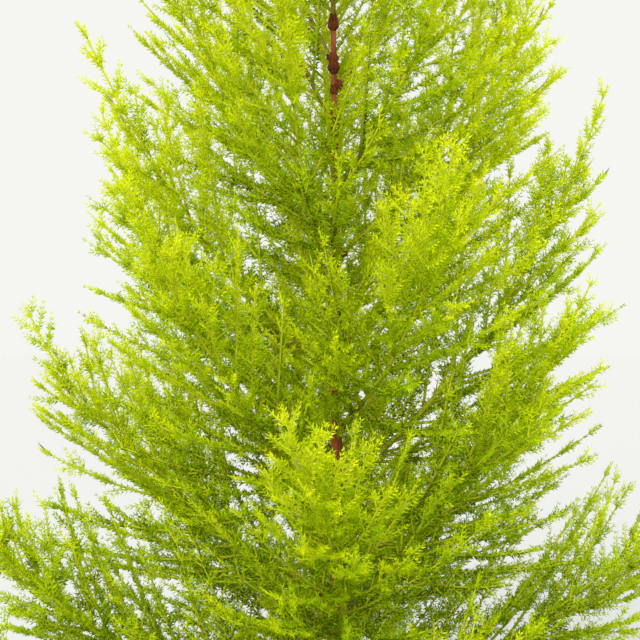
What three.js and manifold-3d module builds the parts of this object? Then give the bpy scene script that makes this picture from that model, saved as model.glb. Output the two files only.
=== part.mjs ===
// A young lemon cypress: a narrow cone of golden needle foliage round one straight trunk.
// Frame: millimetres, +Z up, origin on the trunk's centre line at ground level.
//
// The tree grows by one seeded rule. Boughs leave the trunk one above another, each turned by
// the golden angle from the one below, and climb until they reach the crown's outline. Each
// bough carries a plume of foliage: a stem that runs on to the outline, with toothed sprays
// of needles round it. The highest plumes have no bare bough and start at the trunk itself.
// A plume keeps to the space that is nearer its own stem than any other.
import * as THREE from "three";
import { mergeVertices } from "three/addons/utils/BufferGeometryUtils.js";
import Module from "manifold-3d";

const wasm = await Module();
wasm.setup();

// ---- driving dimensions, in millimetres and degrees ----
const TREE_HEIGHT = 800;
const CROWN_RADIUS = 210; // at the crown's widest
const CROWN_FOOT = 36; // where the crown's outline starts above the ground
const WIDEST_AT = 0.24; // share of the crown's height where it is widest
const FOOT_SHARE = 0.5; // the crown's radius at its foot, as a share of its widest
const SHOULDER = 0.66; // under 1 the cone above the widest place bulges
const STRAY = 1.1; // sprays may pass the crown's outline by this share
const STRAY_LENGTH = 3; // and by this much besides

const TRUNK_TOP = 742; // the leader's foliage goes on from here
const TRUNK_RADIUS = 5.2;
const TRUNK_TAPER = 1.25;
const TRUNK_TIP_RADIUS = 0.7;
const TRUNK_SIDES = 10;
const TRUNK_STEPS = 16;
const TRUNK_CROWDING = 1.7; // over 1 the trunk's rings are closer together at its foot
const TRUNK_SWAY = 2.2;
const SWAY_TURNS = [4.1, 5.3]; // in radians from the foot to the tip, along X and along Y
const SWAY_START = 0.4;
const FLARE_RADIUS = 4; // what the root flare adds at the ground
const FLARE_HEIGHT = 16;
const FLARE_LOBES = 5;
const FLARE_HOLLOW = 0.28; // how far the flare draws in between its lobes
const FLARE_FALL = 2.2; // over 1 the flare dies away below its height

const BOUGHS = 34;
const BARE_BOUGHS = 24; // the others are so short that their plumes start at the trunk
const GOLDEN_ANGLE = 137.508;
const FIRST_BOUGH = 52; // height where the lowest bough leaves the trunk
const LAST_BOUGH = 690;
const BOUGH_CROWDING = 0.85; // under 1 the upper boughs stand closer together
const BOUGH_PHASE = 302; // bearing of the lowest bough
const HEIGHT_SWAY = 4;
const BEARING_SWAY = 5;
const CLIMB_SWAY = 9;
const BOUGH_REACH = 0.95; // share of the crown's radius where boughs end
const REACH_SWAY = 0.11;
const REACH_TRIES = 40; // steps in which a bough's reach settles on the outline
const REACH_EASE = 0.3; // share of what is left that each step makes good
const LOW_CLIMB = 22; // angle above level of the lowest boughs
const HIGH_CLIMB = 70; // and of the highest
const CLIMB_RISE = 0.65; // under 1 most of that change is among the low boughs
const BOW_OUT = 0.09; // a bough's middle is this far out, as a share of its length
const BOW_DOWN = 0.07;
const BOW_ASIDE = 0.1;
const BOUGH_RADIUS = 2.1;
const TOP_BOUGH = 0.42; // the highest bough's thickness, as a share of the lowest's
const BOUGH_ON_TRUNK = 0.7; // no bough is thicker than this share of the trunk there
const BOUGH_SWELL = 1.2; // at its root
const BOUGH_NECK = 0.95; // and where its bare wood ends
const BOUGH_SUNK = 0.6; // its line starts at this share of the trunk's radius
const BOUGH_SIDES = 5;
const BOUGH_RINGS = 2;
const BARE_LENGTH = 15; // bare wood between the trunk and the foliage
const BARE_SHARE = 0.16; // and no more than this share of the bough
const PLUME_END = 0.93; // share of the bough's line where a plume's stem ends

const SPRAYS = 8; // on each plume, besides the one that ends it
const LEADER_SPRAYS = 9;
const SPRAY_LENGTH = 120; // longest, at the foot of the lowest plume
const TOP_PLUME = 0.6; // the sprays of the highest plume, as a share of those of the lowest
const TOP_SPRAY = 0.58; // the sprays at a plume's top, as a share of those at its foot
const END_SPRAY = 0.24; // and the one that ends it
const LEADER_SPRAY_LENGTH = 36;
const LONG_SPRAY = 80; // a spray over this has three pairs of teeth, and others two
const SPRAY_BREADTH = 0.68; // across the teeth, as a share of the spray's length
const LEAST_BREADTH = 9; // which is added to it
const SPRAY_CORE = 0.14; // half the toothless middle, as a share of the breadth
const SPRAY_RIB = 1.3; // how high the rib stands, in halves of that middle
const SPRAY_SWELL = [0.2, 0.92]; // of a sine's half turn, from the spray's root to its tip
const NECK_LENGTH = 3; // toothless root of a spray
const NECK_SHARE = 0.03; // and what each millimetre of its length adds
const TOOTHLESS_TIP = 0.55; // in spaces between two pairs of teeth
const TOOTH_REACH = 1.3; // how far forward a tooth points, in the same spaces
const TOOTH_SHOULDER = 0.6; // where along them the spray's breadth is taken
const SPRAY_ANGLE = 46; // between a spray and its stem, at the plume's foot
const ANGLE_FALL = 14; // how much less it is at the plume's top
const SPRAY_ROLL = 0.9; // in radians, about the spray's own length
const TURNS_TRIED = 5; // for the side of its stem where a spray has room
const TURN_STEP = 100;
const SHRINK_STEP = 0.09; // a spray with too little room is shortened by this share
const LEAST_SHRINK = 0.25;
const ROOMIER_BY = 0.1; // a later turn must leave a spray this much longer to be taken
const ROOM_ENOUGH = 0.7; // and none is tried once a spray keeps this share of its length
const SPRAY_SWAY = 6; // in degrees, of a spray's angle
const LENGTH_SWAY = 0.1;
const PLACE_SWAY = 0.35; // of a spray's place, in spaces between two sprays
const FIRST_SPRAY = 0.06; // share of the stem where the lowest spray stands
const LAST_SPRAY = 0.93;
const END_PLACE = 0.94; // and where the one that ends it stands
const END_ANGLE = 4;
const NEAR_ROOT = 4; // a spray's corners this near its root needn't be in its own space
const STEM_SIDES = 3;
const STEM_FOOT = 0.9; // a plume's stem, as a share of its bough's radius
const STEM_TIP = 0.3;
const STEM_RINGS = 4; // along a plume's stem
const LEADER_STEM_RADIUS = 0.8;

const CLEARANCE = 0.5; // a plume's foliage keeps this far inside its own space
const TRUNK_CLEARANCE = 1.5;
const GAP = 0.3; // between touching pieces
const LEVEL_CUT = 1; // trunk corners this near its two ends are brought level
const ON_AXIS = 0.1; // corners this near the trunk's centre line stay on it
const JOIN_TOLERANCE = 0.04; // slivers under this size are dropped where sprays are joined
const SEED = 10;

const rad = THREE.MathUtils.degToRad;
const lerp = THREE.MathUtils.lerp;
const UP = new THREE.Vector3(0, 0, 1);

// The same three numbers always give the same chance, from 0 to 1.
function chance(a, b = 0, c = 0) {
  const s = Math.sin(a * 12.9898 + b * 78.233 + c * 37.719 + SEED) * 43758.5453;
  return s - Math.floor(s);
}

// The same, from -1 to 1.
function sway(a, b = 0, c = 0) {
  return 2 * chance(a, b, c) - 1;
}

// Radius of the crown's outline at height z.
function crownRadius(z) {
  const u = (z - CROWN_FOOT) / (TREE_HEIGHT - CROWN_FOOT);
  if (u <= 0 || u >= 1) return 0;
  if (u < WIDEST_AT) {
    const rise = Math.sin((Math.PI / 2) * (u / WIDEST_AT));
    return CROWN_RADIUS * lerp(FOOT_SHARE, 1, rise);
  }
  return CROWN_RADIUS * ((1 - u) / (1 - WIDEST_AT)) ** SHOULDER;
}

// ---- the trunk ----
function trunkRadius(z) {
  const taper = Math.max(0, 1 - z / TREE_HEIGHT) ** TRUNK_TAPER;
  return Math.max(TRUNK_TIP_RADIUS, TRUNK_RADIUS * taper);
}

function trunkCentre(z) {
  const u = z / TREE_HEIGHT;
  const bend = TRUNK_SWAY * Math.sin(Math.PI * u);
  return new THREE.Vector3(
    bend * Math.sin(SWAY_TURNS[0] * u + SWAY_START) - TRUNK_SWAY * u,
    bend * Math.cos(SWAY_TURNS[1] * u),
    z,
  );
}

class TrunkLine extends THREE.Curve {
  getPoint(t, target = new THREE.Vector3()) {
    return target.copy(trunkCentre(t * TRUNK_TOP));
  }
  getPointAt(share, target) {
    return this.getPoint(share ** TRUNK_CROWDING, target);
  }
}

// A tapered limb: a cylinder whose rings are carried along a curve. Its sides and its two
// ends are closed. radiusAt gives the radius at a share of the curve's length.
function limb(curve, radiusAt, sides, rings) {
  const geometry = new THREE.CylinderGeometry(1, 1, 1, sides, rings);
  const frames = curve.computeFrenetFrames(rings);
  const points = geometry.getAttribute("position");
  const vertex = new THREE.Vector3();
  for (let i = 0; i < points.count; i++) {
    vertex.fromBufferAttribute(points, i);
    const share = vertex.y + 0.5;
    const ring = Math.round(share * rings);
    const radius = radiusAt(share);
    const centre = curve.getPointAt(share);
    centre.addScaledVector(frames.binormals[ring], vertex.x * radius);
    centre.addScaledVector(frames.normals[ring], vertex.z * radius);
    points.setXYZ(i, centre.x, centre.y, centre.z);
  }
  return geometry;
}

// Root flare: below FLARE_HEIGHT the trunk widens into FLARE_LOBES buttresses.
function flare(geometry) {
  const points = geometry.getAttribute("position");
  const vertex = new THREE.Vector3();
  for (let i = 0; i < points.count; i++) {
    vertex.fromBufferAttribute(points, i);
    const centre = trunkCentre(vertex.z);
    const away = new THREE.Vector3(vertex.x - centre.x, vertex.y - centre.y, 0);
    const distance = away.length();
    if (distance < ON_AXIS || vertex.z > FLARE_HEIGHT * 2) continue;
    const fall = Math.exp(-((vertex.z / FLARE_HEIGHT) ** 2) * FLARE_FALL);
    const lobe = 1 - FLARE_HOLLOW * (1 - Math.cos(FLARE_LOBES * Math.atan2(away.y, away.x)));
    away.setLength(FLARE_RADIUS * fall * lobe);
    points.setXYZ(i, vertex.x + away.x, vertex.y + away.y, vertex.z);
  }
  return geometry;
}

// The whole trunk, thicker all round by extra. Its two ends are cut level.
function trunkGeometry(extra) {
  const radiusAt = (share) => trunkRadius(share ** TRUNK_CROWDING * TRUNK_TOP) + extra;
  const geometry = limb(new TrunkLine(), radiusAt, TRUNK_SIDES, TRUNK_STEPS);
  const points = geometry.getAttribute("position");
  for (let i = 0; i < points.count; i++) {
    const z = points.getZ(i);
    if (z < LEVEL_CUT) points.setZ(i, 0);
    if (z > TRUNK_TOP - LEVEL_CUT) points.setZ(i, TRUNK_TOP);
  }
  return flare(geometry);
}

// ---- the boughs' lines ----
// Where a line that leaves the trunk at height z and climbs at this slope meets the outline.
function reach(z, slope) {
  let radius = CROWN_RADIUS / 2;
  for (let i = 0; i < REACH_TRIES; i++) {
    radius = lerp(radius, crownRadius(z + radius * slope), REACH_EASE);
  }
  return radius;
}

function boughLine(i) {
  const share = (i + 0.5) / BOUGHS;
  const rise = 1 - (1 - share) ** BOUGH_CROWDING;
  const height = lerp(FIRST_BOUGH, LAST_BOUGH, rise) + HEIGHT_SWAY * sway(i, 1);
  const bearing = rad(BOUGH_PHASE + i * GOLDEN_ANGLE + BEARING_SWAY * sway(i, 2));
  const steepness = lerp(LOW_CLIMB, HIGH_CLIMB, share ** CLIMB_RISE);
  const climb = rad(steepness + CLIMB_SWAY * sway(i, 3));
  const slope = Math.tan(climb);
  const radius = reach(height, slope) * (BOUGH_REACH + REACH_SWAY * sway(i, 4));
  const out = new THREE.Vector3(Math.cos(bearing), Math.sin(bearing), 0);
  const root = trunkCentre(height).addScaledVector(out, BOUGH_SUNK * trunkRadius(height));
  const across = new THREE.Vector3(-out.y, out.x, 0);
  const tip = root.clone().addScaledVector(out, radius).addScaledVector(UP, radius * slope);
  const length = tip.distanceTo(root);
  const middle = root.clone().lerp(tip, 0.5);
  middle.addScaledVector(out, BOW_OUT * length);
  middle.addScaledVector(UP, -BOW_DOWN * length);
  middle.addScaledVector(across, BOW_ASIDE * length * sway(i, 5));
  return new THREE.QuadraticBezierCurve3(root, middle, tip);
}

const lines = [];
for (let i = 0; i < BOUGHS; i++) lines.push(boughLine(i));

// The leader goes on from the trunk's top to the tip of the tree.
class LeaderLine extends THREE.Curve {
  getPoint(t, target = new THREE.Vector3()) {
    return target.copy(trunkCentre(lerp(TRUNK_TOP + GAP, TREE_HEIGHT, t)));
  }
}

// ---- each plume's own space ----
const LINE_STEPS = 12;
const leader = new LeaderLine();
const LEADER = BOUGHS; // the leader's place in the list of stems
const stems = lines.map((line) => line.getPoints(LINE_STEPS));
stems.push(leader.getPoints(2));

// Distance from a point to the nearest place on a stem.
function distanceToStem(point, stem) {
  let least = Infinity;
  for (let k = 1; k < stem.length; k++) {
    const a = stem[k - 1];
    const b = stem[k];
    const [x, y, z] = [b.x - a.x, b.y - a.y, b.z - a.z];
    const [px, py, pz] = [point.x - a.x, point.y - a.y, point.z - a.z];
    const along = (px * x + py * y + pz * z) / (x * x + y * y + z * z);
    const t = Math.min(1, Math.max(0, along));
    least = Math.min(least, (px - t * x) ** 2 + (py - t * y) ** 2 + (pz - t * z) ** 2);
  }
  return Math.sqrt(least);
}

// True where a point is clear of the trunk, inside the crown's outline and nearer to its own
// stem than to any other.
function inOwnSpace(point, stem) {
  const centre = trunkCentre(point.z);
  const out = Math.hypot(point.x - centre.x, point.y - centre.y);
  if (point.z < TRUNK_TOP && out < trunkRadius(point.z) + TRUNK_CLEARANCE) return false;
  if (point.z > TREE_HEIGHT || out > crownRadius(point.z) * STRAY + STRAY_LENGTH) return false;
  const own = distanceToStem(point, stems[stem]) + CLEARANCE;
  return stems.every((other, i) => i === stem || distanceToStem(point, other) > own);
}

// ---- a spray of needles ----
// A blade along +X with forward teeth on both edges. It starts at a point, which is sunk in
// the stem. Its underside is flat and its upper side rises to a rib. It is drawn as sections,
// each a right edge, a left edge and a rib, with a pair of teeth between two sections.
function sprayGeometry(length, width, teeth) {
  const vertices = [];
  const triangles = [];
  const vertex = (x, y, z) => vertices.push(x, y, z) / 3 - 1;
  const swell = (x) => Math.sin(Math.PI * lerp(...SPRAY_SWELL, x / length));
  const neckLength = NECK_LENGTH + NECK_SHARE * length;
  const pitch = (length - neckLength) / (teeth + TOOTHLESS_TIP);
  const root = vertex(0, 0, 0);
  const sections = [];
  const points = []; // right and left point of each pair of teeth
  for (let k = 0; k <= teeth; k++) {
    const x = neckLength + k * pitch;
    const half = SPRAY_CORE * width * swell(x);
    sections.push([vertex(x, -half, 0), vertex(x, half, 0), vertex(x, 0, SPRAY_RIB * half)]);
    const reach = x + TOOTH_REACH * pitch;
    const spread = 0.5 * width * swell(x + TOOTH_SHOULDER * pitch);
    if (k < teeth) points.push([vertex(reach, -spread, 0), vertex(reach, spread, 0)]);
  }
  const tip = vertex(length, 0, 0);
  const RIB = 2;
  // A face seen from above on the right edge is turned round on the left edge.
  const face = (left, a, b, c) => (left ? triangles.push(a, c, b) : triangles.push(a, b, c));
  for (const left of [0, 1]) {
    face(left, root, sections[0][left], sections[0][RIB]);
    for (let k = 0; k < teeth; k++) {
      const here = sections[k];
      const next = sections[k + 1];
      face(left, here[left], points[k][left], here[RIB]);
      face(left, points[k][left], next[RIB], here[RIB]);
      face(left, points[k][left], next[left], next[RIB]);
      face(left, here[left], next[left], points[k][left]);
    }
    face(left, sections[teeth][left], tip, sections[teeth][RIB]);
  }
  triangles.push(root, sections[0][1], sections[0][0]);
  for (let k = 0; k < teeth; k++) {
    triangles.push(sections[k][0], sections[k][1], sections[k + 1][0]);
    triangles.push(sections[k][1], sections[k + 1][1], sections[k + 1][0]);
  }
  triangles.push(sections[teeth][0], sections[teeth][1], tip);
  const geometry = new THREE.BufferGeometry();
  geometry.setAttribute("position", new THREE.Float32BufferAttribute(vertices, 3));
  geometry.setIndex(triangles);
  return geometry;
}

// ---- solids ----
function solid(geometry) {
  const bare = geometry.clone();
  bare.deleteAttribute("normal");
  bare.deleteAttribute("uv");
  const merged = mergeVertices(bare, 1e-4);
  return new wasm.Manifold(
    new wasm.Mesh({
      numProp: 3,
      vertProperties: new Float32Array(merged.getAttribute("position").array),
      triVerts: new Uint32Array(merged.index.array),
    }),
  );
}

function geometryOf(manifold) {
  const mesh = manifold.getMesh();
  const geometry = new THREE.BufferGeometry();
  geometry.setAttribute("position", new THREE.Float32BufferAttribute(mesh.vertProperties, 3));
  geometry.setIndex(new THREE.Uint32BufferAttribute(mesh.triVerts, 1));
  geometry.computeVertexNormals();
  return geometry;
}

// The part of a curve between two shares of its length.
class Stretch extends THREE.Curve {
  constructor(whole, from, to) {
    super();
    Object.assign(this, { whole, from, to });
  }
  getPoint(t, target) {
    return this.whole.getPointAt(lerp(this.from, this.to, t), target);
  }
}

function boughRadius(i) {
  const thick = BOUGH_RADIUS * lerp(1, TOP_BOUGH, i / BOUGHS);
  return Math.min(thick, BOUGH_ON_TRUNK * trunkRadius(lines[i].v0.z));
}

function boughSolid(i, bareShare, trunkSpace) {
  const radius = boughRadius(i);
  const line = new Stretch(lines[i], 0, bareShare);
  const radiusAt = (share) => radius * lerp(BOUGH_SWELL, BOUGH_NECK, share);
  return solid(limb(line, radiusAt, BOUGH_SIDES, BOUGH_RINGS)).subtract(trunkSpace);
}

// A spray placed on its stem, at a share of the stem's line, turned round it and laid at an
// angle to it. It is as long as its own space lets it be, or null where there is no room.
function placedSpray(stem, line, share, turn, angle, longest) {
  // The root is on the stem as it is built, which is straight between two rings.
  const ring = Math.min(Math.floor(share * STEM_RINGS), STEM_RINGS - 1);
  const before = line.getPointAt(ring / STEM_RINGS);
  const after = line.getPointAt((ring + 1) / STEM_RINGS);
  const root = before.clone().lerp(after, share * STEM_RINGS - ring);
  const along = after.clone().sub(before).normalize();
  const side = new THREE.Vector3().crossVectors(along, UP).normalize();
  side.applyAxisAngle(along, turn);
  const direction = along.clone().multiplyScalar(Math.cos(angle));
  direction.addScaledVector(side, Math.sin(angle));
  const flat = new THREE.Vector3().crossVectors(side, along).normalize();
  flat.applyAxisAngle(direction, SPRAY_ROLL * sway(stem, share * 100, 6));
  const above = new THREE.Vector3().crossVectors(direction, flat);
  const frame = new THREE.Matrix4().makeBasis(direction, flat, above).setPosition(root);
  const fits = (point) => point.distanceTo(root) < NEAR_ROOT || inOwnSpace(point, stem);
  for (let shrink = 1; shrink > LEAST_SHRINK; shrink -= SHRINK_STEP) {
    const length = longest * shrink;
    if (!fits(root.clone().addScaledVector(direction, length))) continue;
    const teeth = length > LONG_SPRAY ? 3 : 2;
    const geometry = sprayGeometry(length, length * SPRAY_BREADTH + LEAST_BREADTH, teeth);
    geometry.applyMatrix4(frame);
    const points = geometry.getAttribute("position");
    const corners = Array.from({ length: points.count }, (_, i) =>
      new THREE.Vector3().fromBufferAttribute(points, i),
    );
    if (corners.every(fits)) return { geometry, shrink };
  }
  return null;
}

// A spray grows to the side of its stem that has most room, of a few that it tries.
function roomiestSpray(stem, line, share, firstTurn, angle, longest) {
  let best = null;
  for (let j = 0; j < TURNS_TRIED; j++) {
    const turn = firstTurn + rad(j * TURN_STEP);
    const spray = placedSpray(stem, line, share, turn, angle, longest);
    if (spray && (!best || spray.shrink > best.shrink + ROOMIER_BY)) best = spray;
    if (best && best.shrink > ROOM_ENOUGH) break;
  }
  return best && best.geometry;
}

// One plume: a tapered stem with sprays fused to it, each turned by the golden angle from
// the one below, and a last one that ends the stem.
function plumeSolid(stem, line, stemRadius, sprays, longest) {
  const radiusAt = (share) => stemRadius * lerp(STEM_FOOT, STEM_TIP, share);
  const placed = [];
  for (let k = 0; k < sprays; k++) {
    const place = (k + PLACE_SWAY * chance(stem, k, 7)) / (sprays - 0.5);
    const share = lerp(FIRST_SPRAY, LAST_SPRAY, place);
    const turn = rad(k * GOLDEN_ANGLE + 360 * chance(stem, 8));
    const angle = rad(SPRAY_ANGLE - ANGLE_FALL * share + SPRAY_SWAY * sway(stem, k, 9));
    const vigour = 1 + LENGTH_SWAY * (sway(stem, k, 10) - 1);
    const length = longest * lerp(1, TOP_SPRAY, share) * vigour;
    placed.push(roomiestSpray(stem, line, share, turn, angle, length));
  }
  const end = placedSpray(stem, line, END_PLACE, 0, rad(END_ANGLE), END_SPRAY * longest);
  placed.push(end?.geometry);
  let plume = solid(limb(line, radiusAt, STEM_SIDES, STEM_RINGS));
  for (const spray of placed) {
    if (spray) plume = plume.add(solid(spray));
  }
  return plume.simplify(JOIN_TOLERANCE);
}

// ---- the tree ----
const material = (color, roughness) =>
  new THREE.MeshStandardMaterial({ color, roughness, metalness: 0 });
const bark = material(0x7a4a30, 0.85);
const greenBark = material(0x8a7a32, 0.75);
const needles = material(0x9cb81e, 0.6);

const tree = new THREE.Group();

function addPiece(name, geometry, surface) {
  const mesh = new THREE.Mesh(geometry, surface);
  mesh.name = name;
  tree.add(mesh);
}

addPiece("trunk", trunkGeometry(0), bark);
const trunkSpace = solid(trunkGeometry(GAP));
for (let i = 0; i < BOUGHS; i++) {
  const label = String(i + 1).padStart(2, "0");
  const length = lines[i].getLength();
  const bareShare = i < BARE_BOUGHS ? Math.min(BARE_SHARE, BARE_LENGTH / length) : 0;
  if (bareShare) {
    addPiece(`bough_${label}`, geometryOf(boughSolid(i, bareShare, trunkSpace)), greenBark);
  }
  const line = new Stretch(lines[i], bareShare + GAP / length, PLUME_END);
  const longest = SPRAY_LENGTH * lerp(1, TOP_PLUME, i / BOUGHS);
  const plume = plumeSolid(i, line, boughRadius(i), SPRAYS, longest).subtract(trunkSpace);
  addPiece(`plume_${label}`, geometryOf(plume), needles);
}
const leaderPlume = plumeSolid(
  LEADER,
  leader,
  LEADER_STEM_RADIUS,
  LEADER_SPRAYS,
  LEADER_SPRAY_LENGTH,
);
addPiece("leader_plume", geometryOf(leaderPlume), needles);

export default tree;
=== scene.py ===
# %% [markdown]
# # A young lemon cypress
#
# This lesson dresses a small garden cypress: one straight trunk, rising boughs in a spiral
# round it, and golden-green needles on every twig. The tree's solids are a fixed frame. Each
# has the right place and reach, but a plume of foliage there is only a stem with toothed
# blades. Here every plume grows on to real twigs and needles, by the same rule.

import bpy
import numpy as np
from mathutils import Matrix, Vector


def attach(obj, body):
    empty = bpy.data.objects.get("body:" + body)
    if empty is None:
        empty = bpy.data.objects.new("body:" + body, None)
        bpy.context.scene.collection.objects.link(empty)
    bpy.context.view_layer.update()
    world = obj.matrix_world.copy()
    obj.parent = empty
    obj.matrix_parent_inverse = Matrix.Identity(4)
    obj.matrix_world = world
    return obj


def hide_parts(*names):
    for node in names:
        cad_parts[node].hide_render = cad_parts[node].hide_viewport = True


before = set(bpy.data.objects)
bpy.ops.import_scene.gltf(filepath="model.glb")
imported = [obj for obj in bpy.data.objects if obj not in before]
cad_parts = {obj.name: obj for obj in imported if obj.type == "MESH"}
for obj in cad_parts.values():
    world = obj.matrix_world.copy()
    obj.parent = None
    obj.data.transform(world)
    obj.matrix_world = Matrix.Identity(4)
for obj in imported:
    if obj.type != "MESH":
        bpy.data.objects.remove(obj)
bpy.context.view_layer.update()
MM = 0.001  # all the sums below are in millimetres, and meshes are in metres

# %% [markdown]
# ## The rule
#
# No two twigs of a tree are alike, yet the tree has to come out the same each time. A random
# generator would do, as long as nobody changes the order of its draws. A hash is safer: it
# turns the numbers of a twig into a chance from 0 to 1, whatever was drawn before.

# %% Chance
SEED = 10
GOLDEN_ANGLE = 137.508
UP = np.array([0.0, 0.0, 1.0])
HASH_WAVES = (12.9898, 78.233, 37.719)  # odd factors, so that neighbours are far apart
HASH_SIZE = 43758.5453
TINY = 1e-9


def chance(a, b=0, c=0):
    """A number from 0 to 1: the broken part of a large sine of the three numbers. The last one
    given is a label, which keeps the chances of one use apart from another's."""
    s = np.sin(a * HASH_WAVES[0] + b * HASH_WAVES[1] + c * HASH_WAVES[2] + SEED) * HASH_SIZE
    return s - np.floor(s)


def sway(a, b=0, c=0):
    """The same, from -1 to 1."""
    return 2 * chance(a, b, c) - 1


def varied(middle_and_most, *numbers):
    """Values about a middle, and off it by at most the second number of the pair."""
    middle, most = middle_and_most
    return middle + most * sway(*numbers)


def lerp(a, b, share):
    """The value that share of the way from a to b."""
    return a + (b - a) * share


def outward(angle):
    """The level direction at each angle round the trunk."""
    return np.stack([np.cos(angle), np.sin(angle), 0 * angle], axis=-1)


def unit(v):
    """Each row of v at length 1."""
    return v / np.maximum(np.linalg.norm(v, axis=-1, keepdims=True), TINY)


print("the first three chances:", np.round(chance(np.arange(3)), 3).tolist())

# %% [markdown]
# ## Outline and trunk
#
# Seen from afar a cypress is a cone with a round shoulder. A hull could be modelled by hand
# and filled with twigs, but a formula tells faster how far the crown reaches at a height. The
# outline is one curve turned round the trunk: it swells to the widest place as a sine, and
# narrows above that as a bulging cone. The trunk sways a little on its way up.

# %% The crown's outline
TREE_HEIGHT = 800
CROWN_RADIUS = 210
CROWN_FOOT = 36
WIDEST_AT = 0.24
FOOT_SHARE = 0.5
SHOULDER = 0.66  # the power of the fall above the widest place


def crown_radius(z):
    """Radius of the crown at height z: a sine rise to the widest place, then a power fall."""
    u = (z - CROWN_FOOT) / (TREE_HEIGHT - CROWN_FOOT)
    rise = lerp(FOOT_SHARE, 1, np.sin(np.pi / 2 * u / WIDEST_AT))
    fall = (np.clip(1 - u, 0, 1) / (1 - WIDEST_AT)) ** SHOULDER
    return np.where((u <= 0) | (u >= 1), 0, CROWN_RADIUS * np.where(u < WIDEST_AT, rise, fall))


quarters = np.array([0.25, 0.5, 0.75]) * TREE_HEIGHT
print("crown radius at the quarters:", np.round(crown_radius(quarters)).tolist())

# %% The trunk's line
TRUNK_TOP = 742
TRUNK_RADIUS = 5.2
TRUNK_TAPER = 1.25
TRUNK_TIP_RADIUS = 0.7
TRUNK_SWAY = 2.2
SWAY_WAVES = (4.1, 5.3)  # radians over the tree's height
SWAY_START = 0.4


def trunk_radius(z):
    """Radius of the bare trunk at height z: a power of what is left above."""
    taper = np.clip(1 - z / TREE_HEIGHT, 0, 1) ** TRUNK_TAPER
    return np.maximum(TRUNK_TIP_RADIUS, TRUNK_RADIUS * taper)


def trunk_centre(z):
    """Centre of the trunk at height z: slow waves that fade out at both ends."""
    u = np.asarray(z) / TREE_HEIGHT
    bend = TRUNK_SWAY * np.sin(np.pi * u)
    x = bend * np.sin(SWAY_WAVES[0] * u + SWAY_START) - TRUNK_SWAY * u
    return np.stack([x, bend * np.cos(SWAY_WAVES[1] * u), np.asarray(z) + 0 * u], axis=-1)


print("trunk radius at the quarters:", np.round(trunk_radius(quarters), 2).tolist())

# %% [markdown]
# ## Boughs
#
# Boughs leave the trunk one above another, each turned by the golden angle from the one
# below, so that none shades the next. A bough sets off low, bends upwards and ends where it
# meets the outline. Curves placed by hand would do for a few boughs. Here each line is worked
# out from the bough's place in the list. The ten highest boughs are green from the trunk on.

# %% The boughs' lines
BOUGHS = 34
BARE_BOUGHS = 24  # the others are green from the trunk on
FIRST_BOUGH = 52
LAST_BOUGH = 690
BOUGH_CROWDING = 0.85
HEIGHT_JITTER = 4
BOUGH_PHASE = 302
BEARING_JITTER = 5
BOUGH_REACH = 0.95
REACH_SWAY = 0.11
REACH_ROUNDS = 40
REACH_STEP = 0.3
CLIMB = (22, 70)  # degrees, of the lowest and of the highest bough
CLIMB_RISE = 0.65
CLIMB_JITTER = 9
ROOT_DEPTH = 0.6  # of the trunk's radius
BOW_OUT = 0.09
BOW_DOWN = 0.07
BOW_ASIDE = 0.1
LINE_STEPS = 64
FINE_STEPS = 300


def reach(z, slope):
    """Where lines that leave the trunk at z and climb at slope meet the outline: a guess,
    drawn towards the outline's radius at the height that the guess leads to."""
    radius = np.full(z.shape, CROWN_RADIUS / 2)
    for _ in range(REACH_ROUNDS):
        radius = lerp(radius, crown_radius(z + radius * slope), REACH_STEP)
    return radius


def even_walk(start, middle, end):
    """Points at equal lengths along each curve (1-t)(1-t) start + 2t(1-t) middle + tt end."""
    t = np.linspace(0, 1, FINE_STEPS + 1)[None, :, None]
    fine = (1 - t) ** 2 * start[:, None] + 2 * t * (1 - t) * middle[:, None] + t**2 * end[:, None]
    far = np.cumsum(np.linalg.norm(np.diff(fine, axis=1), axis=2), axis=1)
    far = np.pad(far, ((0, 0), (1, 0)))
    steps = np.linspace(0, 1, LINE_STEPS + 1)
    walked = [
        [np.interp(steps * f[-1], f, line[:, axis]) for axis in range(3)]
        for f, line in zip(far, fine)
    ]
    return np.swapaxes(np.array(walked), 1, 2), far[:, -1]


def bough_lines():
    """Every bough's walked line, length, height and bearing, all from its place in the list."""
    i = np.arange(BOUGHS)
    share = (i + 0.5) / BOUGHS
    rise = 1 - (1 - share) ** BOUGH_CROWDING
    height = lerp(FIRST_BOUGH, LAST_BOUGH, rise) + HEIGHT_JITTER * sway(i, 1)
    bearing = np.radians(BOUGH_PHASE + i * GOLDEN_ANGLE + BEARING_JITTER * sway(i, 2))
    climb = lerp(*CLIMB, share**CLIMB_RISE) + CLIMB_JITTER * sway(i, 3)
    slope = np.tan(np.radians(climb))
    radius = (reach(height, slope) * (BOUGH_REACH + REACH_SWAY * sway(i, 4)))[:, None]
    out = outward(bearing)
    root = trunk_centre(height) + out * ROOT_DEPTH * trunk_radius(height)[:, None]
    across = np.stack([-out[:, 1], out[:, 0], 0 * bearing], axis=1)
    tip = root + out * radius + UP * radius * slope[:, None]
    length = np.linalg.norm(tip - root, axis=1)[:, None]
    middle = lerp(root, tip, 0.5) + length * (BOW_OUT * out - BOW_DOWN * UP)
    middle = middle + length * BOW_ASIDE * across * sway(i, 5)[:, None]
    line, length = even_walk(root, middle, tip)
    return line, length, height, bearing


bough_line, bough_length, bough_height, bough_bearing = bough_lines()
print(BOUGHS, "boughs, the longest of", np.round(bough_length.max()), "mm")

# %% Boughs and leader as one list of stems
BOUGH_RADIUS = 2.1
TOP_BOUGH = 0.42
THICKEST = 0.7  # of the trunk's radius at the bough's root
LEADER_RADIUS = 0.8
BARE_LENGTH = 15
BARE_SHARE = 0.16
LEADER = BOUGHS  # the leader comes last in the list of stems

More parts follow.
